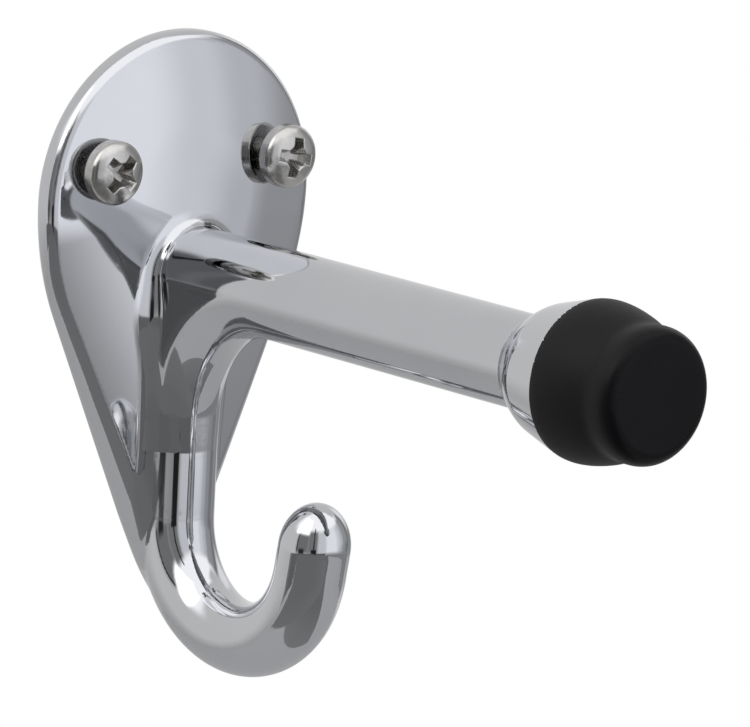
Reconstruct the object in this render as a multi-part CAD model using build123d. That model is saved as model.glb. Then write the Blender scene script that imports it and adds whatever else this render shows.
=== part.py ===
"""Coat hook with door bumper.

A one-piece chrome casting (teardrop plate, arm, spine and hook), a push-in rubber
bumper and two pan-head screws.  Millimetres; +Z is up, the back face of the plate lies
in the plane Y = 0, and the arm's axis is the line X = Z = 0, running out along -Y.
"""
import math
import os

from build123d import *

# Plate: a domed teardrop with a rounded side
PLATE_R = 23.1             # radius of the round top
PLATE_Z = 10.0             # height of the round top's centre above the arm's axis
SIDE_R = 40.0              # radius of the sides between the round top and the taper
TAPER = 23.75              # angle of each straight side to the vertical, degrees
CROWN = 6.1                # thickness at the middle
DOME_R = 88.0              # radius of the domed front
EDGE_H = 1.2               # upright part of the side, next to the wall
ROUND_R = 5.0              # rounding of the side above it, which the dome cuts off
ROUND_LAND = 3.2           # the rounding stops this far inside the outline
TAIL_R = ROUND_R + 0.4     # radius of the tail's end
TAIL_INSET = 0.4           # the tail's underside lies this far inside the hook's bend

# Arm and the cup at its end
ARM_R = 6.4
ARM_LENGTH = 77.4          # from the wall to the cup's neck
CUP_LENGTH = 10.9          # from the neck to the cup's open face
CUP_END = ARM_LENGTH + CUP_LENGTH
CUP_R = 10.8
CUP_SWELL = 0.7            # how far the cup's side bulges beyond a plain cone
NECK_R = 1.0               # rounding of the neck

# Hook: a round bar that bends out of the arm, runs down the plate as a spine and turns
# up to a ball end, narrowing all the way
ELBOW_R = 20.0             # bend radius of the elbow on the bar's centre line
SPINE_DEPTH = 4.5          # the spine's centre line from the wall
SPINE_DRAFT = 4.5          # the spine's side leans in by this, degrees
HOOK_R = 14.85             # bend radius on the bar's centre line
HOOK_DROP = 34.5           # the bend's centre below the arm's axis
SPINE_R = ARM_R - (HOOK_DROP - ELBOW_R) * math.tan(math.radians(SPINE_DRAFT))
TIP_R = 5.0                # the bar narrows to this through the bend
TIP_LEAN = 10.0            # outward lean of the tip, degrees
TIP_RISE = 5.0             # straight length between the bend and the ball end
BLEND_R = 2.8              # blend of arm and spine into the plate

# Screws and their holes
HOLE_X = 15.3
HOLE_Z = 15.1
HOLE_PLAY = 0.2            # radial play of the shank in its hole
SHANK_R = 2.42
THREAD_R = 2.15
THREAD_START = 0.3         # the plain shank ends at least this far behind the plate
SCREW_LENGTH = 12.7        # under the head
POINT_LENGTH = 3.0
POINT_R = 0.4
HEAD_R = 4.6
HEAD_H = 3.3
HEAD_SIDE = 1.5            # straight part of the head's height
RECESS_SPAN = 5.4
RECESS_WIDTH = 1.5
RECESS_DEPTH = 2.0
RECESS_DRAFT = 14.0
HEAD_GAPS = (0.9, 1.5)     # how far the left and right heads stand off the plate
RECESS_TURNS = (42.0, 12.0)

# Rubber bumper, measured out from the cup's open face
BUMPER_LENGTH = 13.3
BUMPER_R = 10.85           # at the cup
BARREL_R = 10.5
BARREL_AT = 4.3            # where the barrel has that radius
WAIST_R = 9.2
WAIST_AT = 8.7             # the step between barrel and nose
NOSE_R = 8.95
NOSE_EDGE = 1.2            # rounding of the nose
SOCKET_R = 4.0
SOCKET_DEPTH = 10.0
STEM_PLAY = 0.05
STEM_LENGTH = 9.0


def plate_outline():
    """Teardrop of tangent arcs and lines, drawn in X and Z."""
    turn = math.radians(TAPER)
    side_x = PLATE_R - SIDE_R * (1 - math.cos(turn))
    side_z = PLATE_Z - SIDE_R * math.sin(turn)
    mid_x = PLATE_R - SIDE_R * (1 - math.cos(turn / 2))
    mid_z = PLATE_Z - SIDE_R * math.sin(turn / 2)
    tail_z = side_z - (side_x - TAIL_R / math.cos(turn)) / math.tan(turn)
    end_x = TAIL_R * math.cos(turn)
    end_z = tail_z - TAIL_R * math.sin(turn)
    edges = [
        ThreePointArc((-PLATE_R, PLATE_Z), (0, PLATE_Z + PLATE_R), (PLATE_R, PLATE_Z)),
        ThreePointArc((PLATE_R, PLATE_Z), (mid_x, mid_z), (side_x, side_z)),
        Line((side_x, side_z), (end_x, end_z)),
        ThreePointArc((end_x, end_z), (0, tail_z - TAIL_R), (-end_x, end_z)),
        Line((-end_x, end_z), (-side_x, side_z)),
        ThreePointArc((-side_x, side_z), (-mid_x, mid_z), (-PLATE_R, PLATE_Z)),
    ]
    return Plane.XZ * make_face(edges)


def front_at(x, z):
    """Distance of the plate's domed front from the wall at a point of its round top."""
    return CROWN - DOME_R + math.sqrt(DOME_R**2 - x**2 - (z - PLATE_Z) ** 2)


def turned(face):
    """Solid of revolution about the arm's axis from a profile in X and Y."""
    return revolve(face, Axis.Y)


def vertex_at(face, point):
    """The corner of a profile nearest to a point."""
    return face.vertices().sort_by(lambda v: (Vector(v) - point).length)[0]


def arm():
    """Round arm, from where the elbow leaves it to the flared cup for the bumper."""
    root = Vector(ARM_R, -SPINE_DEPTH - ELBOW_R)
    neck = Vector(ARM_R, -ARM_LENGTH)
    lip = Vector(CUP_R, -CUP_END)
    along = (lip - neck).normalized()
    belly = (neck + lip) * 0.5 + Vector(-along.Y, along.X) * CUP_SWELL
    profile = make_face([
        Line((0, root.Y), root),
        Line(root, neck),
        ThreePointArc(neck, belly, lip),
        Line(lip, (0, -CUP_END)),
        Line((0, -CUP_END), (0, root.Y)),
    ])
    return turned(fillet(vertex_at(profile, neck), NECK_R))


def arm_root():
    """Upper half of the arm between the wall and the elbow."""
    over = ThreePointArc((-ARM_R, 0), (0, ARM_R), (ARM_R, 0))
    half = make_face([over, Line((ARM_R, 0), (-ARM_R, 0))])
    return extrude(Plane.XZ * half, SPINE_DEPTH + ELBOW_R)


def elbow():
    """Lower half: the bend down into the spine, round in the throat and filled behind it.

    The fill reaches the point where the axes of arm and spine cross.
    """
    fill = ELBOW_R * (math.sqrt(2) - 1)
    section = make_face([
        ThreePointArc((-ARM_R, 0), (0, -ARM_R), (ARM_R, 0)),
        Polyline((ARM_R, 0), (ARM_R, fill), (-ARM_R, fill), (-ARM_R, 0)),
    ])
    axis = Axis((0, -SPINE_DEPTH - ELBOW_R, -ELBOW_R), (1, 0, 0))
    bend = revolve(Pos(0, -SPINE_DEPTH, -ELBOW_R) * section, axis, 90)
    wide = 4 * (SPINE_DEPTH + ELBOW_R)
    return bend & (Pos(0, 0, -ELBOW_R) * Box(wide, wide, 2 * ELBOW_R))


def spine(foot):
    """Narrowing bar from the elbow down to a depth below the arm's axis."""
    length = foot - ELBOW_R
    cone = Cone(ARM_R - length * math.tan(math.radians(SPINE_DRAFT)), ARM_R, length)
    return Pos(0, -SPINE_DEPTH, -ELBOW_R - length / 2) * Rot(0, 0, 90) * cone


def hook():
    """Tapering bend and ball end of the bar, from the spine's lower end."""
    centre = Vector(0, -SPINE_DEPTH - HOOK_R, -HOOK_DROP)
    sweep_angle = math.radians(180 - TIP_LEAN)
    points = [
        centre + Vector(0, math.cos(angle), -math.sin(angle)) * HOOK_R
        for angle in (0, sweep_angle / 2, sweep_angle)
    ]
    path = ThreePointArc(*points)
    start = Plane(path @ 0, x_dir=(1, 0, 0), z_dir=path % 0)
    end = Plane(path @ 1, x_dir=(1, 0, 0), z_dir=path % 1)
    bend = sweep([start * Circle(SPINE_R), end * Circle(TIP_R)], path=path, multisection=True)
    rise = extrude(end * Circle(TIP_R), TIP_RISE)
    ball = end * Pos(0, 0, TIP_RISE) * Sphere(TIP_R)
    return bend + rise + ball


def plate_envelope(height):
    """All that lies inside the plate's outline, with its side rounded towards the front."""
    outline = plate_outline()
    base = extrude(outline, EDGE_H + ROUND_R)
    base = fillet(base.faces().sort_by(Axis.Y)[0].edges(), ROUND_R)
    return base + extrude(offset(outline, -ROUND_LAND), height)


def hook_body():
    """The casting: plate, arm, spine and hook blended into one piece."""
    span = 2 * (PLATE_R + PLATE_Z + HOOK_DROP + HOOK_R)
    in_front = Pos(0, -span / 2, 0) * Box(span, span, span)
    along_y = Rot(90, 0, 0)
    foot = HOOK_DROP + HOOK_R + SPINE_R + BLEND_R

    # Arm, elbow and spine, carried on to below the plate's tail
    stem = arm() + arm_root() + ((elbow() + spine(foot)) & in_front)

    # The dome, blended into the stem while it is still wider than the plate
    dome_at = Pos(0, DOME_R - CROWN, PLATE_Z)
    trough = Pos(0, 0, -(PLATE_Z + foot) / 2) * Cylinder(DOME_R, PLATE_Z + foot)
    dome = (dome_at * Sphere(DOME_R) + dome_at * trough) & in_front
    blank = dome + stem
    blank = fillet(new_edges(dome, stem, combined=blank), BLEND_R)

    # The outline trims the plate and leaves all that stands round the arm
    reach = max(ARM_R + BLEND_R, CUP_R) + BLEND_R
    round_arm = Pos(0, -span / 2, 0) * along_y * Cylinder(reach, span)
    body = blank & (plate_envelope(SPINE_DEPTH + ELBOW_R) + round_arm)

    # The tail follows the bend on its underside, and the bar carries on as the hook
    bend_at = Pos(0, -SPINE_DEPTH - HOOK_R, -HOOK_DROP)
    under = bend_at * Rot(0, 90, 0) * Cylinder(HOOK_R + SPINE_R - TAIL_INSET, span)
    above = Pos(0, 0, span / 2 - HOOK_DROP) * Box(span, 2 * span, span)
    body &= above + under
    body += (spine(HOOK_DROP) + hook()) & in_front

    # Screw holes and the socket for the bumper
    hole = along_y * Cylinder(SHANK_R + HOLE_PLAY, 4 * CROWN)
    for side in (-1, 1):
        body -= Pos(side * HOLE_X, 0, HOLE_Z) * hole
    socket = along_y * Cylinder(SOCKET_R, SOCKET_DEPTH)
    return body - Pos(0, SOCKET_DEPTH / 2 - CUP_END, 0) * socket


def bumper():
    """Rubber tip: barrel, stepped nose and the stem that pushes into the socket."""
    stem_r = SOCKET_R - STEM_PLAY
    face = CUP_END + BUMPER_LENGTH
    waist = Vector(WAIST_R, -CUP_END - WAIST_AT)
    brow = Vector(NOSE_R, -face)
    profile = make_face([
        Line((0, STEM_LENGTH - CUP_END), (stem_r, STEM_LENGTH - CUP_END)),
        Line((stem_r, STEM_LENGTH - CUP_END), (stem_r, -CUP_END)),
        Line((stem_r, -CUP_END), (BUMPER_R, -CUP_END)),
        ThreePointArc((BUMPER_R, -CUP_END), (BARREL_R, -CUP_END - BARREL_AT), waist),
        Line(waist, brow),
        Line(brow, (0, -face)),
        Line((0, -face), (0, STEM_LENGTH - CUP_END)),
    ])
    profile = fillet(vertex_at(profile, brow), NOSE_EDGE)
    return turned(fillet(vertex_at(profile, waist), NOSE_EDGE))


def screw():
    """Pan-head screw with a cross recess; the head's underside lies in Y = 0."""
    front = front_at(HOLE_X, HOLE_Z)
    plain = front + max(HEAD_GAPS) + THREAD_START
    crown = EllipticalCenterArc((0, -HEAD_SIDE), HEAD_R, HEAD_H - HEAD_SIDE, 270, arc_size=90)
    body = turned(make_face([
        crown,
        Line((HEAD_R, -HEAD_SIDE), (HEAD_R, 0)),
        Polyline(
            (HEAD_R, 0),
            (SHANK_R, 0),
            (SHANK_R, plain),
            (THREAD_R, plain),
            (THREAD_R, SCREW_LENGTH - POINT_LENGTH),
            (POINT_R, SCREW_LENGTH),
            (0, SCREW_LENGTH),
            (0, -HEAD_H),
        ),
    ]))
    cross = Rectangle(RECESS_SPAN, RECESS_WIDTH) + Rectangle(RECESS_WIDTH, RECESS_SPAN)
    face = Plane((0, -HEAD_H, 0), x_dir=(1, 0, 0), z_dir=(0, 1, 0))
    return body - extrude(face * cross, RECESS_DEPTH, taper=RECESS_DRAFT)


def mounting_screws():
    """Both screws, each standing a little proud of the plate."""
    front = front_at(HOLE_X, HOLE_Z)
    one = screw()
    placed = []
    for side, gap, turn in zip((-1, 1), HEAD_GAPS, RECESS_TURNS):
        placed.append(Pos(side * HOLE_X, -front - gap, HOLE_Z) * Rot(0, turn, 0) * one)
    return Compound(children=placed)


os.makedirs("parts", exist_ok=True)
export_step(hook_body(), "parts/hook_body.step")
export_step(bumper(), "parts/bumper.step")
export_step(mounting_screws(), "parts/mounting_screws.step")
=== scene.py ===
"""Coat hook with door bumper: the looks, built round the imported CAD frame.

The shapes are worked out in millimetres in the frame of the CAD model: +Z is up, the
plate's back lies in Y = 0 and the arm runs out along -Y.  Blender gets them in metres.
"""
import math

import bpy
import numpy as np
from mathutils import Matrix, Vector


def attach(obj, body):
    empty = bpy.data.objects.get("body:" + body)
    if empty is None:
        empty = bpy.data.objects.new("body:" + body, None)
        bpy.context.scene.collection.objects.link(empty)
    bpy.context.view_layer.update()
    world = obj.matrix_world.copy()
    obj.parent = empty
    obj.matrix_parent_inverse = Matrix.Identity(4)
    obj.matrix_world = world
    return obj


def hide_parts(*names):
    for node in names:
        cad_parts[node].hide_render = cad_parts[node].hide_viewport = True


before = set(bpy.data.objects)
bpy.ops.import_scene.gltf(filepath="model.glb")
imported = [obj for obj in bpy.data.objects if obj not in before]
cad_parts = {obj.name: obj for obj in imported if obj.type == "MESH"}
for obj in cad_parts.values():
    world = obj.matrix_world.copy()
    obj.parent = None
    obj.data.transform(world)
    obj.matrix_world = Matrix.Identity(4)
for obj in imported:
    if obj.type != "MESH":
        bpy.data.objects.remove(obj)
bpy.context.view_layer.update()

MM = 0.001

# Plate: the CAD model's teardrop, with a lower half that leans towards its sides
PLATE_R = 23.1
PLATE_Z = 10.0
SIDE_R = 40.0
TAPER = math.radians(23.75)
CROWN = 6.1
DOME_R = 88.0
DOME_LEAN = math.radians(14.0)
EDGE_H = 1.2               # height of the side where its rounding starts
ROUND_R = 5.0              # rounding of the side
RIM_EDGE = 0.8             # rounding between the side and the dome
TAIL_R = 2.6
TAIL_INSET = 0.3           # the tail's underside lies this far inside the hook's bend
TAIL_EDGE = 1.5

# Arm, and a cup with a steep root and a shallow side
ARM_R = 6.4
CUP_START = 77.4
CUP_END = 88.3
CUP_R = 10.8
CUP_ROOT = math.radians(50.0)
CUP_SIDE = math.radians(15.0)
CUP_SHOULDER = 2.0
NECK_R = 0.5
SOCKET_R = 4.0
SOCKET_DEPTH = 10.0

# Elbow, spine and hook
ELBOW_R = 20.0
ELBOW_TUBE_R = 5.66
SPINE_R = 5.42             # at the start of the bend
TAPER_END = 9.5            # height above the bend up to which the spine hardly widens
TAPER_R = 5.46             # radius there
SPINE_DEPTH = 4.5
HOOK_R = 14.85
HOOK_DROP = 34.5
TIP_R = 5.0
TIP_LEAN = math.radians(10.0)
TIP_RISE = 3.7
TIP_STRETCH = 1.26         # the ball end is this much longer than a ball

# Blend between plate and stem, and how much larger it is round one height
BLEND_R = 2.3
BLEND_MORE = 1.1
BLEND_MORE_Z = -6.0
BLEND_MORE_SPAN = 5.0

# Screws
HOLE_X = 15.3
HOLE_Z = 15.1
HOLE_R = 2.62
SHANK_R = 2.42
PLAIN_LENGTH = 6.0         # shank without a thread
SHANK_SEAT = 0.5           # the shank starts this far inside the head
SHANK_SLOPE = 0.8          # keeps the distance field of the thread's flanks below the true one
THREAD_R = 2.15
ROOT_R = 1.65
THREAD_PITCH = 1.3
THREAD_FLANK = 1.6         # steepness of the flanks
THREAD_ROOT = 0.3          # width of the root
SCREW_LENGTH = 12.7
POINT_LENGTH = 3.0
POINT_CUT = 0.1
HEAD_R = 4.45
HEAD_H = 3.3
HEAD_SIDE = 1.5
HEAD_EDGE = 0.25
HEAD_GAPS = (1.25, 1.5)    # how far the left and right heads stand off the plate
RECESS_HALF_WIDTH = 0.86
RECESS_HALF_SPAN = 3.05
RECESS_WIDTH_DRAFT = 0.2   # loss of half width for each millimetre of depth
RECESS_SPAN_DRAFT = 0.55
RECESS_CORE_R = 1.75
RECESS_DEPTH = 2.3
RECESS_FILLET = 0.3
RECESS_EDGE = 0.12
RECESS_TURNS = (42.0, 12.0)

# Rubber bumper: distance from the wall and radius
BUMPER_PROFILE = (
    (88.3, 10.7), (88.55, 10.85), (89.6, 10.93), (91.0, 10.82), (92.5, 10.55), (94.0, 10.17),
    (95.3, 9.72), (96.3, 9.34), (97.0, 9.18), (97.8, 9.2), (98.8, 9.27), (99.7, 9.22),
    (100.5, 8.98), (101.1, 8.53), (101.45, 7.95), (101.58, 7.35), (101.6, 6.75),
)
BUMPER_STEPS = 5           # points for each span of the profile
BUMPER_SEGMENTS = 160

# Meshing: cell size and the box that is searched
FINE = 1.0
CASTING_STEP = 0.45 * FINE
CASTING_BOX = ((-24, -89.2, -56), (24, 0.9, 34.5))
SCREW_STEP = 0.13 * FINE
SCREW_BOX = ((-4.9, -3.6, -4.9), (4.9, SCREW_LENGTH + 0.3, 4.9))
ROOT_TRIES = 6             # steps of the search for the surface along a cell's edge
MIDDLE_PULL = 0.03         # pull of a cell's point to the middle of its hits
MIDDLE_REACH = 0.7         # furthest a cell's point moves from there, in cells
NORMAL_INSET = 0.15        # normals are taken this far from a face's corner to its middle


# Distance fields

def join(a, b, r):
    """Union of two distance fields with a fillet."""
    u = np.maximum(r - a, 0)
    v = np.maximum(r - b, 0)
    return np.maximum(r, np.minimum(a, b)) - np.sqrt(u * u + v * v)


def meet(a, b, r):
    """Intersection of two distance fields with a rounded edge."""
    u = np.maximum(r + a, 0)
    v = np.maximum(r + b, 0)
    return np.minimum(-r, np.maximum(a, b)) + np.sqrt(u * u + v * v)


def outline(x, z):
    """Signed distance from the plate's teardrop outline."""
    side = np.abs(x)
    cos, sin = math.cos(TAPER), math.sin(TAPER)
    centre_x = PLATE_R - SIDE_R
    side_x, side_z = centre_x + SIDE_R * cos, PLATE_Z - SIDE_R * sin
    tail_z = side_z - (side_x - TAIL_R / cos) * cos / sin
    top = np.hypot(side, z - PLATE_Z) - PLATE_R
    bow = np.hypot(side - centre_x, z - PLATE_Z) - SIDE_R
    line = (side - side_x) * cos - (z - side_z) * sin
    tail = np.hypot(side, z - tail_z) - TAIL_R
    past_bow = (side - centre_x) * sin + (z - PLATE_Z) * cos < 0
    past_line = side * sin + (z - tail_z) * cos < 0
    return np.where(z > PLATE_Z, top, np.where(past_line, tail, np.where(past_bow, line, bow)))


def plate_field(x, d, z):
    """Domed plate with a rounded side; d is the distance from the wall."""
    side, fall = np.abs(x), PLATE_Z - z
    cos, sin = math.cos(DOME_LEAN), math.sin(DOME_LEAN)
    away = np.where(fall * cos > side * sin, side * cos + fall * sin, np.hypot(side, fall))
    dome = np.hypot(away, d + DOME_R - CROWN) - DOME_R
    across, up = outline(x, z) + ROUND_R, d - EDGE_H
    corner = np.hypot(np.maximum(across, 0), np.maximum(up, 0))
    wall = corner + np.minimum(np.maximum(across, up), 0) - ROUND_R
    body = meet(dome, wall, RIM_EDGE)
    under = np.hypot(np.minimum(d - SPINE_DEPTH - HOOK_R, 0), np.minimum(z + HOOK_DROP, 0))
    return meet(body, under - HOOK_R - SPINE_R + TAIL_INSET, TAIL_EDGE)


def arm_field(x, d, z):
    """Round arm with the flared cup at its end."""
    rho = np.hypot(x, z)
    root = (rho - ARM_R) * math.cos(CUP_ROOT) - (d - CUP_START) * math.sin(CUP_ROOT)
    side = (rho - CUP_R) * math.cos(CUP_SIDE) - (d - CUP_END) * math.sin(CUP_SIDE)
    cup = meet(root, side, CUP_SHOULDER)
    whole = np.maximum(join(rho - ARM_R, cup, NECK_R), d - CUP_END)
    socket = np.maximum(rho - SOCKET_R, CUP_END - SOCKET_DEPTH - d)
    return np.maximum(whole, -socket)


def elbow_field(x, d, z):
    """Web that fills the corner between arm and spine, out to a round throat."""
    out, up = d - SPINE_DEPTH - ELBOW_R, z + ELBOW_R
    reach = np.maximum(np.hypot(out, up), 1e-9)
    share = ELBOW_R / np.minimum(reach, ELBOW_R)
    line_d, line_z = np.maximum(out * share, -ELBOW_R), np.minimum(up * share, ELBOW_R)
    line_d = np.where(out > 0, 0, np.where(up < 0, -ELBOW_R, line_d))
    line_z = np.where(out > 0, ELBOW_R, np.where(up < 0, 0, line_z))
    radius = ELBOW_TUBE_R + (ARM_R - ELBOW_TUBE_R) * line_z / ELBOW_R
    return np.sqrt(x * x + (out - line_d) ** 2 + (up - line_z) ** 2) - radius


def hook_field(x, d, z):
    """Spine and hook: a round bar that narrows down the plate and through the bend."""
    out, up = d - SPINE_DEPTH - HOOK_R, z + HOOK_DROP
    turn = math.pi - TIP_LEAN
    angle = np.arctan2(-up, -out)
    share = np.clip(angle / turn, 0, 1)
    bend = np.hypot(x, np.hypot(out, up) - HOOK_R) - (SPINE_R + (TIP_R - SPINE_R) * share)
    leg_end = HOOK_DROP - ELBOW_R
    height = np.clip(up, 0, leg_end)
    leg_r = np.interp(height, (0, TAPER_END, leg_end), (SPINE_R, TAPER_R, ELBOW_TUBE_R))
    leg = np.sqrt(x * x + (out + HOOK_R) ** 2 + (up - height) ** 2) - leg_r
    lean, rise = math.sin(TIP_LEAN), math.cos(TIP_LEAN)
    from_out, from_up = out + HOOK_R * math.cos(turn), up + HOOK_R * math.sin(turn)
    along = from_out * lean + from_up * rise
    beyond = np.maximum(along - TIP_RISE, 0) / TIP_STRETCH
    across = np.hypot(x, from_out * rise - from_up * lean)
    tip = np.hypot(across, beyond) - TIP_R
    return np.where((up < 0) & (angle < turn), bend, np.where(out > 0, tip, leg))


def body_field(x, y, z):
    """The whole casting."""
    d = -y
    stem = np.minimum(np.minimum(arm_field(x, d, z), elbow_field(x, d, z)), hook_field(x, d, z))
    blend = BLEND_R + BLEND_MORE * np.exp(-(((z - BLEND_MORE_Z) / BLEND_MORE_SPAN) ** 2))
    solid = join(plate_field(x, d, z), stem, blend)
    hole = np.hypot(np.abs(x) - HOLE_X, z - HOLE_Z) - HOLE_R
    return np.maximum(np.maximum(solid, -d), -hole)


def screw_field(x, y, z):
    """Pan-head screw with a cross recess and a thread; the head's underside lies in Y = 0."""
    rho = np.hypot(x, z)
    dome_h = HEAD_H - HEAD_SIDE
    dome = np.sqrt((rho / HEAD_R) ** 2 + (np.minimum(y + HEAD_SIDE, 0) / dome_h) ** 2) - 1
    head = meet(np.maximum(dome * dome_h, rho - HEAD_R), y, HEAD_EDGE)

    depth = y + HEAD_H
    width = RECESS_HALF_WIDTH - RECESS_WIDTH_DRAFT * depth
    span = RECESS_HALF_SPAN - RECESS_SPAN_DRAFT * depth
    wing = np.minimum(
        np.maximum(np.abs(x) - width, np.abs(z) - span),
        np.maximum(np.abs(z) - width, np.abs(x) - span),
    )
    core = rho - RECESS_CORE_R + RECESS_SPAN_DRAFT * depth
    recess = np.maximum(join(wing, core, RECESS_FILLET), depth - RECESS_DEPTH)
    head = meet(head, -recess, RECESS_EDGE)

    turn = np.arctan2(z, x) / (2 * math.pi)
    phase = np.abs((y / THREAD_PITCH - turn) % 1.0 - 0.5) * 2
    crest = np.clip(phase * THREAD_FLANK - THREAD_ROOT, 0, 1)
    fade = np.clip((SCREW_LENGTH - y) / POINT_LENGTH, 0, 1)
    thread = (ROOT_R + (THREAD_R - ROOT_R) * crest) * fade
    shank = (rho - np.where(y < PLAIN_LENGTH, SHANK_R, thread)) * SHANK_SLOPE
    shank = np.maximum(np.maximum(shank, y - SCREW_LENGTH + POINT_CUT), -SHANK_SEAT - y)
    return np.minimum(head, shank)


# Meshes

def slope(field, points, reach=0.01):
    """Unit gradient of a field at points, one a row."""
    found = np.empty_like(points)
    for axis in range(3):
        ahead, behind = points.copy(), points.copy()
        ahead[:, axis] += reach
        behind[:, axis] -= reach
        found[:, axis] = field(*ahead.T) - field(*behind.T)
    return found / np.maximum(np.linalg.norm(found, axis=1), 1e-12)[:, None]


def contour(field, low, high, step):
    """Dual contouring: corners, four-sided faces and a normal for each face corner.

    Each cell that the surface crosses gets the point that fits the surface's tangent
    planes there best, so sharp edges stay sharp.
    """
    axes = [np.arange(a, b + step, step) for a, b in zip(low, high)]
    values = field(*np.meshgrid(*axes, indexing="ij", sparse=True))
    origin = np.array(low, float)
    cells = np.array(values.shape)
    hits, normals, owners, outward = [], [], [], []
    for axis in range(3):
        first = np.take(values, range(values.shape[axis] - 1), axis)
        second = np.take(values, range(1, values.shape[axis]), axis)
        index = np.argwhere((first < 0) != (second < 0))
        at = tuple(index.T)
        start = origin + index * step
        near, far = first[at], second[at]
        left, right = np.zeros(len(index)), np.ones(len(index))
        point = start.copy()
        for _ in range(ROOT_TRIES):
            share = np.clip(left + (right - left) * near / (near - far), 0, 1)
            point = start.copy()
            point[:, axis] += share * step
            value = field(*point.T)
            same = (value < 0) == (near < 0)
            left, near = np.where(same, share, left), np.where(same, value, near)
            right, far = np.where(same, right, share), np.where(same, far, value)
            far = np.where(near == far, far + 1e-12, far)
        hits.append(point)
        normals.append(slope(field, point))
        ring = []
        for b, c in ((0, 0), (-1, 0), (-1, -1), (0, -1)):
            cell = index.copy()
            cell[:, (axis + 1) % 3] += b
            cell[:, (axis + 2) % 3] += c
            ring.append(np.ravel_multi_index(tuple(cell.T), cells))
        owners.append(np.stack(ring, 1))
        outward.append(first[at] < 0)
    hits, normals = np.concatenate(hits), np.concatenate(normals)
    owners, outward = np.concatenate(owners), np.concatenate(outward)

    used, cell_of = np.unique(owners, return_inverse=True)
    cell_of = cell_of.reshape(owners.shape)
    count = np.bincount(cell_of.ravel(), minlength=len(used))
    middle = np.stack([
        np.bincount(cell_of.ravel(), np.repeat(hits[:, k], 4), len(used)) / count
        for k in range(3)
    ], 1)
    matrix = np.zeros((len(used), 3, 3))
    right_side = np.zeros((len(used), 3))
    for corner in range(4):
        cell = cell_of[:, corner]
        offset = ((hits - middle[cell]) * normals).sum(1)
        for j in range(3):
            right_side[:, j] += np.bincount(cell, normals[:, j] * offset, len(used))
            for k in range(3):
                matrix[:, j, k] += np.bincount(cell, normals[:, j] * normals[:, k], len(used))
    matrix += np.eye(3) * (MIDDLE_PULL * count)[:, None, None]
    shift = np.linalg.solve(matrix, right_side[:, :, None])[:, :, 0]
    corners = middle + np.clip(shift, -MIDDLE_REACH * step, MIDDLE_REACH * step)
    faces = np.where(outward[:, None], cell_of, cell_of[:, ::-1])
    centre = corners[faces].mean(1)
    inset = corners[faces] * (1 - NORMAL_INSET) + centre[:, None] * NORMAL_INSET
    return corners, faces, slope(field, inset.reshape(-1, 3))


def add_mesh(name, corners, faces, shading=None):
    """A smooth-shaded object from corners in millimetres."""
    mesh = bpy.data.meshes.new(name)
    loops = [[int(corner) for corner in face] for face in faces]
    mesh.from_pydata((corners * MM).tolist(), [], loops, shade_flat=False)
    mesh.update()
    if shading is not None:
        mesh.normals_split_custom_set(shading.tolist())
    piece = bpy.data.objects.new(name, mesh)
    bpy.context.scene.collection.objects.link(piece)
    return piece


def smooth_line(points, per_span):
    """Catmull-Rom line through points."""
    points = np.array(points, float)
    padded = np.vstack([2 * points[0] - points[1], points, 2 * points[-1] - points[-2]])
    line = []
    for a, b, c, e in zip(padded, padded[1:], padded[2:], padded[3:]):
        for t in np.arange(per_span) / per_span:
            line.append(
                0.5 * (2 * b + (c - a) * t + (2 * a - 5 * b + 4 * c - e) * t**2
                       + (3 * b - a - 3 * c + e) * t**3)
            )
    line.append(points[-1])
    return np.array(line)


def lathe(name, profile, segments):
    """Closed solid of revolution about the arm's axis from distance-and-radius pairs."""
    turn = np.arange(segments) * 2 * math.pi / segments
    corners = np.concatenate([
        np.stack([radius * np.cos(turn), np.full(segments, -distance), radius * np.sin(turn)], 1)
        for distance, radius in profile
    ])
    faces = []
    for row in range(len(profile) - 1):
        a, b = row * segments, (row + 1) * segments
        for k in range(segments):
            n = (k + 1) % segments
            faces.append((a + k, a + n, b + n, b + k))
    last = (len(profile) - 1) * segments
    faces.append(range(segments)[::-1])
    faces.append(range(last, last + segments))
    return add_mesh(name, corners, faces)


# Materials

def node_material(name):
    """An empty node material with its Principled shader."""
    material = bpy.data.materials.new(name)
    material.use_nodes = True
    return material, material.node_tree, material.node_tree.nodes["Principled BSDF"]


def add_node(tree, kind, **properties):
    """A node with its properties set by name."""
    node = tree.nodes.new(kind)
    for key, value in properties.items():
        setattr(node, key, value)
    return node


def set_inputs(node, **values):
    """Set a node's inputs; an underscore in a name stands for a space."""
    for key, value in values.items():
        node.inputs[key.replace("_", " ")].default_value = value


def object_coords(tree):
    """Coordinates of the object."""
    return add_node(tree, "ShaderNodeTexCoord").outputs["Object"]


def split_axes(tree, vector):
    """The X, Y and Z of a vector."""
    node = add_node(tree, "ShaderNodeSeparateXYZ")
    tree.links.new(vector, node.inputs[0])
    return node.outputs


def noise(tree, coords, scale, detail=3.0):
    """Cloudy noise from about 0.3 to 0.7."""
    node = add_node(tree, "ShaderNodeTexNoise")
    set_inputs(node, Scale=scale, Detail=detail, Roughness=0.55)
    tree.links.new(coords, node.inputs["Vector"])
    return node.outputs["Fac"]


def spread(tree, value, low, high, to_low, to_high, **properties):
    """A value brought from one range to another."""
    node = add_node(tree, "ShaderNodeMapRange", **properties)
    set_inputs(node, From_Min=low, From_Max=high, To_Min=to_low, To_Max=to_high)
    tree.links.new(value, node.inputs["Value"])
    return node.outputs["Result"]


def maths(tree, operation, *values):
    """A Math node on numbers and sockets."""
    node = add_node(tree, "ShaderNodeMath", operation=operation)
    for socket, value in zip(node.inputs, values):
        if isinstance(value, float):
            socket.default_value = value
        else:
            tree.links.new(value, socket)
    return node.outputs[0]


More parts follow.
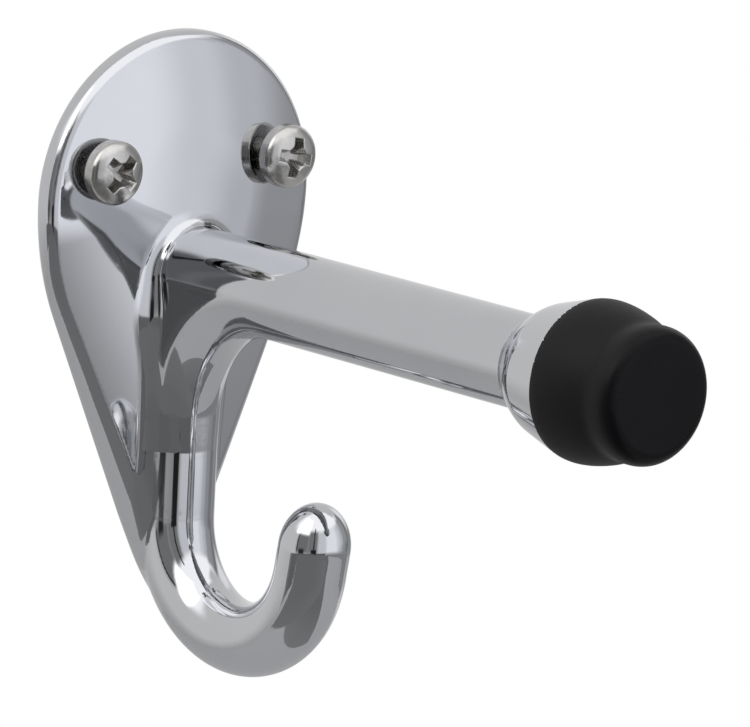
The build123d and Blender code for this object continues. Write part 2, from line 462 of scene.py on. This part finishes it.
def colour_ramp(tree, value, stops):
    """Colour from a value by places and colours along a ramp."""
    node = add_node(tree, "ShaderNodeValToRGB")
    ramp = node.color_ramp
    while len(ramp.elements) < len(stops):
        ramp.elements.new(0.5)
    for element, (place, colour) in zip(ramp.elements, stops):
        element.position = place
        element.color = (*colour, 1.0)
    tree.links.new(value, node.inputs["Fac"])
    return node.outputs["Color"]


def bump(tree, value, strength, distance):
    """Normal from a height."""
    node = add_node(tree, "ShaderNodeBump")
    set_inputs(node, Strength=strength, Distance=distance)
    tree.links.new(value, node.inputs["Height"])
    return node.outputs["Normal"]


def chrome():
    """Polished chrome with faint clouds and smears."""
    material, tree, shader = node_material("polished_chrome")
    coords = object_coords(tree)
    tone = noise(tree, coords, 38.0)
    smear = noise(tree, coords, 160.0, 5.0)
    set_inputs(shader, Metallic=1.0)
    tree.links.new(
        colour_ramp(tree, tone, [(0.3, (0.545, 0.55, 0.57)), (0.7, (0.59, 0.595, 0.61))]),
        shader.inputs["Base Color"])
    tree.links.new(spread(tree, smear, 0.35, 0.75, 0.03, 0.075), shader.inputs["Roughness"])
    return material


def rubber():
    """Black rubber, smoother on the face than on the sides; the sides get a lighter base colour as
    painted sheen, so the face comes out blacker.
    """
    material, tree, shader = node_material("black_rubber")
    coords = object_coords(tree)
    # Painted sheen: this mask is 1 on the sides and 0 on the face, and it lightens the sides' base
    # colour.
    side = spread(tree, split_axes(tree, coords)["Y"], -0.1013, -0.0995, 0.0, 1.0)
    blotch = spread(tree, noise(tree, coords, 120.0, 4.0), 0.3, 0.75, 0.0, 0.15)
    # The tone is the painted sheen of the sides plus random blotches.
    tone = maths(tree, "MULTIPLY_ADD", side, 0.85, blotch)
    grain = noise(tree, coords, 2600.0)
    set_inputs(shader, Specular_IOR_Level=0.12)
    tree.links.new(
        colour_ramp(tree, tone, [(0.0, (0.0014, 0.0008, 0.0016)), (1.0, (0.0128, 0.012, 0.0128))]),
        shader.inputs["Base Color"])
    tree.links.new(spread(tree, side, 0.0, 1.0, 0.3, 0.5), shader.inputs["Roughness"])
    tree.links.new(bump(tree, grain, 0.25, 0.0001), shader.inputs["Normal"])
    return material


def screw_steel():
    """Dull plated steel."""
    material, tree, shader = node_material("plated_screw_steel")
    coords = object_coords(tree)
    tone = noise(tree, coords, 420.0, 5.0)
    grain = noise(tree, coords, 1500.0)
    set_inputs(shader, Metallic=1.0)
    tree.links.new(
        colour_ramp(tree, tone, [(0.3, (0.40, 0.39, 0.375)), (0.7, (0.56, 0.55, 0.53))]),
        shader.inputs["Base Color"])
    tree.links.new(spread(tree, tone, 0.3, 0.75, 0.16, 0.3), shader.inputs["Roughness"])
    tree.links.new(bump(tree, grain, 0.2, 0.0001), shader.inputs["Normal"])
    return material


# Pieces

casting = add_mesh("casting", *contour(body_field, *CASTING_BOX, CASTING_STEP))
casting.data.materials.append(chrome())
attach(casting, "root")
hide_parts("hook_body")

bumper = lathe("bumper_rubber", smooth_line(BUMPER_PROFILE, BUMPER_STEPS), BUMPER_SEGMENTS)
bumper.data.materials.append(rubber())
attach(bumper, "root")
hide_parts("bumper")

corners, faces, shading = contour(screw_field, *SCREW_BOX, SCREW_STEP)
plate_front = CROWN - DOME_R + math.sqrt(DOME_R**2 - HOLE_X**2 - (HOLE_Z - PLATE_Z) ** 2)
pair = []
for number, (side, gap, turn) in enumerate(zip((-1, 1), HEAD_GAPS, RECESS_TURNS)):
    spin = np.array(Matrix.Rotation(math.radians(turn), 3, "Y"))
    place = (side * HOLE_X, -plate_front - gap, HOLE_Z)
    pair.append((corners @ spin.T + place, faces + len(corners) * number, shading @ spin.T))
screws = add_mesh("mounting_screw_pair", *(np.concatenate(rows) for rows in zip(*pair)))
screws.data.materials.append(screw_steel())
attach(screws, "root")
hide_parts("mounting_screws")

# Studio

# Panels of the light tent: middle and half size as azimuth and elevation in degrees, the
# softness of the edge, the brightness and how blue it is.  Azimuth 0 is straight out from
# the plate, and positive to its right.  A later panel lies over an earlier one.
TENT_R = 1.6
TENT_BASE = 0.78
TENT_BLUE = (-0.03, -0.01, 0.045)
TENT = (
    (-25, 70, 105, 41, 11, 1.5, 0.3),
    (80, 52, 14, 11, 7, 0.75, 0.3),
    (-88, 42, 27, 20, 4, 2.3, 0.0),
    (-80, 4, 20, 19, 6, 0.24, 0.3),
    (-82, -11, 8, 5, 3, 0.03, 0.0),
    (-46, 8, 16, 24, 6, 0.26, 0.3),
    (-97, 5, 1.6, 16, 1.2, 0.02, 0.0),
    (-43, 12, 1.8, 28, 1.2, 0.02, 0.0),
    (-15, 7, 15, 22, 7, 0.86, 1.0),
    (18, 7, 22, 24, 6, 1.2, 0.9),
    (42, 7, 8, 24, 6, 0.95, 1.0),
    (55, 7, 8, 24, 5, 0.74, 1.0),
    (70, 10, 11, 26, 6, 0.44, 0.7),
    (87, 10, 8, 26, 5, 0.28, 0.3),
    (50, -12, 7, 6, 4, 0.7, 1.0),
    (64, -12, 9, 6, 4, 0.44, 0.8),
    (80, -12, 9, 6, 4, 0.27, 0.5),
    (106, -10, 12, 10, 4, 0.34, 0.3),
    (106, 20, 12, 12, 5, 1.1, 0.3),
    (45, -60, 50, 44.2, 4, 0.32, 0.6),
    (-62, -60, 57, 45, 0.6, 0.17, 0.3),
    (-150, -60, 32, 43, 9, 0.55, 0.0),
    (150, -60, 32, 43, 9, 0.55, 0.0),
    (-43, -13, 8, 5, 1.5, 0.02, 0.0),
)
FLOOR_R = 0.7
FLOOR_Z = -0.32


def tent_material():
    """Glow of the tent's panels, by the direction from the tent's middle."""
    material, tree, shader = node_material("tent")
    tree.nodes.remove(shader)
    unit = add_node(tree, "ShaderNodeVectorMath", operation="NORMALIZE")
    tree.links.new(object_coords(tree), unit.inputs[0])
    x, y, z = split_axes(tree, unit.outputs[0])
    azimuth = maths(tree, "ARCTAN2", x, maths(tree, "MULTIPLY", y, -1.0))
    azimuth = maths(tree, "DEGREES", azimuth)
    elevation = maths(tree, "DEGREES", maths(tree, "ARCSINE", z))

    colour = None
    for az, el, half_az, half_el, soft, bright, blue in TENT:
        masks = []
        for value, middle, half in ((azimuth, az, half_az), (elevation, el, half_el)):
            away = maths(tree, "ABSOLUTE", maths(tree, "SUBTRACT", value, float(middle)))
            masks.append(spread(tree, away, half - soft, half + soft, 1.0, 0.0,
                                interpolation_type="SMOOTHSTEP"))
        mix = add_node(tree, "ShaderNodeMix", data_type="RGBA")
        factor, under, over = mix.inputs[0], mix.inputs[6], mix.inputs[7]
        tree.links.new(maths(tree, "MULTIPLY", *masks), factor)
        if colour is None:
            under.default_value = (TENT_BASE, TENT_BASE, TENT_BASE, 1.0)
        else:
            tree.links.new(colour, under)
        over.default_value = (*(bright * (1 + tint * blue) for tint in TENT_BLUE), 1.0)
        colour = mix.outputs[2]
    glow = add_node(tree, "ShaderNodeEmission")
    tree.links.new(colour, glow.inputs["Color"])
    tree.links.new(glow.outputs[0], tree.nodes["Material Output"].inputs["Surface"])
    return material


def floor_material():
    """Matt pale floor with faint clouds."""
    material, tree, shader = node_material("pale_floor")
    tone = noise(tree, object_coords(tree), 3.0)
    set_inputs(shader, Roughness=0.9, Specular_IOR_Level=0.1)
    tree.links.new(
        colour_ramp(tree, tone, [(0.3, (0.49, 0.49, 0.49)), (0.7, (0.51, 0.51, 0.51))]),
        shader.inputs["Base Color"])
    return material


def card_material(name, stops):
    """Matt grey that changes from one edge of a card to the other."""
    material, tree, shader = node_material(name)
    place = spread(tree, split_axes(tree, object_coords(tree))["Y"], -0.5, 0.5, 0.0, 1.0)
    set_inputs(shader, Roughness=0.9)
    tree.links.new(
        colour_ramp(tree, place, [(at, (tone, tone, tone)) for at, tone in stops]),
        shader.inputs["Base Color"])
    return material


def add_card(name, size, turn, place, stops):
    """A card just above the floor that only the metal shows."""
    bpy.ops.mesh.primitive_grid_add(x_subdivisions=4, y_subdivisions=4, size=1.0)
    card = bpy.context.object
    card.name = name
    card.scale = (*size, 1.0)
    card.rotation_euler = (0, 0, math.radians(turn))
    card.location = place
    card.data.materials.append(card_material(name, stops))
    card.visible_camera = card.visible_diffuse = card.visible_shadow = False
    return card


bpy.ops.mesh.primitive_uv_sphere_add(segments=64, ring_count=32, radius=TENT_R)
tent = bpy.context.object
tent.name = "light_tent"
tent.data.materials.append(tent_material())
tent.visible_camera = False
tent.visible_shadow = False

bpy.ops.mesh.primitive_circle_add(vertices=96, radius=FLOOR_R, fill_type="TRIFAN")
floor = bpy.context.object
floor.name = "floor"
floor.location = (-0.1, -0.12, FLOOR_Z)
floor.data.materials.append(floor_material())

# Painted shade: a dark card, a little lighter towards its edge nearest the wall, that the metal
# sees as the floor in front of the hook lying in shade.
card = add_card("floor_shade_card", (1.0, 0.8), -5, (-0.4, -0.43, FLOOR_Z + 0.002),
                [(0.0, 0.17), (0.7, 0.17), (1.0, 0.24)])

mat = add_card("dark_card", (0.9, 0.6), -56, (-0.456, -0.308, FLOOR_Z + 0.004),
               [(0.0, 0.18), (0.6, 0.17), (1.0, 0.2)])

# World: white to the camera and to reflections
world = bpy.data.worlds.new("studio")
bpy.context.scene.world = world
world.use_nodes = True
tree = world.node_tree
backing = tree.nodes["Background"]
backing.inputs["Color"].default_value = (1, 1, 1, 1)
paths = add_node(tree, "ShaderNodeLightPath").outputs
seen = maths(tree, "MAXIMUM", paths["Is Camera Ray"], paths["Is Glossy Ray"])
seen = maths(tree, "MAXIMUM", seen, paths["Is Transmission Ray"])
tree.links.new(seen, backing.inputs["Strength"])

# Camera: found from the photograph's outlines
CAMERA_TURN = math.radians(-40.9527)
CAMERA_RISE = math.radians(11.5808)
CAMERA_ROLL = math.radians(2.71169)
CAMERA_AIM = (0, -48.12633, 0)
CAMERA_AWAY = 937.03943
CAMERA_SHIFT = (-2.027519, -5.17588)
FOCAL_PX = 7000.0
IMAGE_WIDTH = 750
SENSOR = 36.0

back = Vector((math.sin(CAMERA_TURN) * math.cos(CAMERA_RISE),
               -math.cos(CAMERA_TURN) * math.cos(CAMERA_RISE), math.sin(CAMERA_RISE)))
level_right = Vector((math.cos(CAMERA_TURN), math.sin(CAMERA_TURN), 0))
level_up = back.cross(level_right)
right = level_right * math.cos(CAMERA_ROLL) + level_up * math.sin(CAMERA_ROLL)
up = level_up * math.cos(CAMERA_ROLL) - level_right * math.sin(CAMERA_ROLL)
where = Vector(CAMERA_AIM) + back * CAMERA_AWAY + right * CAMERA_SHIFT[0] + up * CAMERA_SHIFT[1]
pose = Matrix((right, up, back)).transposed().to_4x4()
pose.translation = where * MM

camera_data = bpy.data.cameras.new("camera")
camera_data.sensor_width = SENSOR
camera_data.lens = FOCAL_PX * SENSOR / IMAGE_WIDTH
camera_data.clip_start, camera_data.clip_end = 0.01, 20.0
camera = bpy.data.objects.new("camera", camera_data)
bpy.context.scene.collection.objects.link(camera)
camera.matrix_world = pose
bpy.context.scene.camera = camera

bpy.context.scene.view_settings.view_transform = "Standard"
